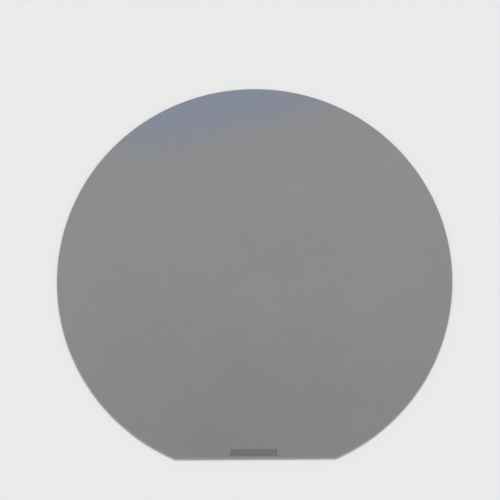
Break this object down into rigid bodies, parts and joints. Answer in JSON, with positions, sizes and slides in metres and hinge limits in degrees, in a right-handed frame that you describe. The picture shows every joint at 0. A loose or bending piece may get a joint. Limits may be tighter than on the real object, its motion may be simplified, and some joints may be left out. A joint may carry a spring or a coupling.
{
  "type": "aluminum nitride disc",
  "caption": "Thin round grey ceramic plate with a straight orientation flat and a bevelled rim, used as an insulating, heat-spreading substrate.",
  "frame": {"origin": "centre of the round outline, on the back face that the disc lies on", "axes": "+Z out of the front face, -Y out of the orientation flat, +X along the flat"},
  "size_m": [0.15, 0.1443, 0.0007],
  "materials": {
    "aluminum_nitride": "satin"
  },
  "bodies": {
    "root": {"ceramic_disc": "aluminum_nitride"}
  },
  "joints": []
}
